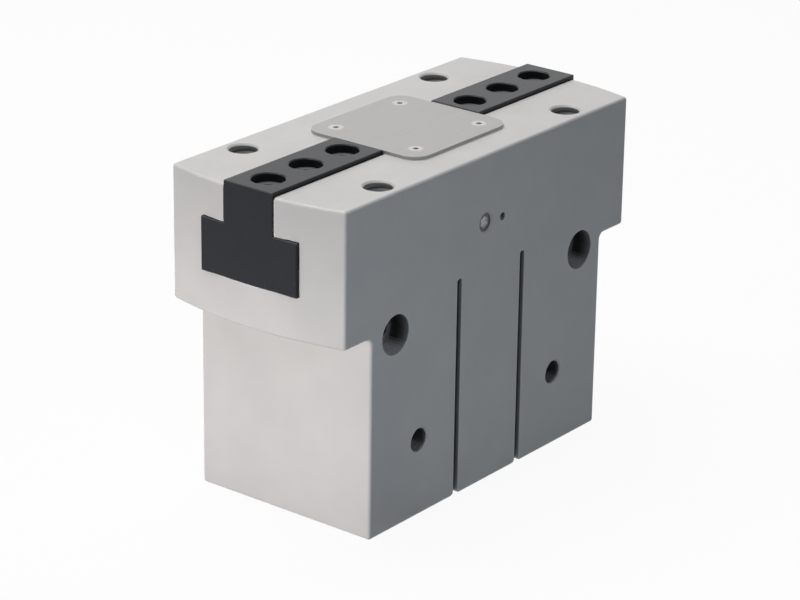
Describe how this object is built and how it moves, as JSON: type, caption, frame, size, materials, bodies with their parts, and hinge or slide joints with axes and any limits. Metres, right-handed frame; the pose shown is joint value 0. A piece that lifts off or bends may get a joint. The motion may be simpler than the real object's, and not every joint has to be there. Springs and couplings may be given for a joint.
{
  "type": "pneumatic parallel gripper",
  "caption": "Wedge-hook pneumatic gripper with a T-shaped aluminium housing and black base jaws that slide apart in a T-slot along its top.",
  "frame": {"origin": "middle of the foot, on the plane of the underside", "axes": "+X along the jaws' travel, -Y out of the front face with the ports, +Z from the foot to the jaws"},
  "size_m": [0.176, 0.078, 0.1286],
  "materials": {
    "anodised_aluminium": "bead blasted and natural anodised",
    "machined_aluminium": "machined",
    "black_steel": "hardened and blackened",
    "ground_steel": "hardened and ground",
    "plate_steel": "stainless sheet, satin",
    "bright_steel": "stainless, plain",
    "spring_steel": "phosphated spring steel",
    "seal_rubber": "matte",
    "band_plastic": "filled polymer",
    "bush_bronze": "sintered bronze",
    "magnet": "nickel plated"
  },
  "bodies": {
    "frame": {"housing": "anodised_aluminium", "cover_plate": "plate_steel", "cover_plate_screws": "bright_steel", "sealing_air_plug": "bright_steel", "base_port_plugs": "bright_steel", "guide_disc": "machined_aluminium", "guide_disc_seal": "seal_rubber", "guide_disc_screws": "bright_steel", "rod_bush": "bush_bronze", "rod_seal": "seal_rubber", "rod_seal_circlip": "spring_steel", "base_cover": "machined_aluminium", "base_cover_seal": "seal_rubber", "base_cover_ring": "spring_steel"},
    "jaw_left": {"jaw_left": "black_steel"},
    "jaw_right": {"jaw_right": "black_steel"},
    "drive": {"wedge_hook": "ground_steel", "piston": "machined_aluminium", "piston_seal_lower": "seal_rubber", "piston_seal_upper": "seal_rubber", "piston_guide_band": "band_plastic", "piston_magnets": "magnet", "piston_washer": "bright_steel", "piston_screw": "bright_steel", "piston_rod_seal": "seal_rubber"}
  },
  "joints": [
    {"name": "jaw_right_slide", "type": "slide", "parent": "frame", "child": "jaw_right", "axis": [1, 0, 0], "range_m": [0, 0.016]},
    {"name": "jaw_left_slide", "type": "slide", "parent": "frame", "child": "jaw_left", "axis": [-1, 0, 0], "range_m": [0, 0.016]},
    {"name": "piston_lift", "type": "slide", "parent": "frame", "child": "drive", "axis": [0, 0, 1], "range_m": [0, 0.024]}
  ],
  "couplings": [
    {"joint": "jaw_left_slide", "follows": "jaw_right_slide", "ratio": 1},
    {"joint": "piston_lift", "follows": "jaw_right_slide", "ratio": 1.5}
  ]
}
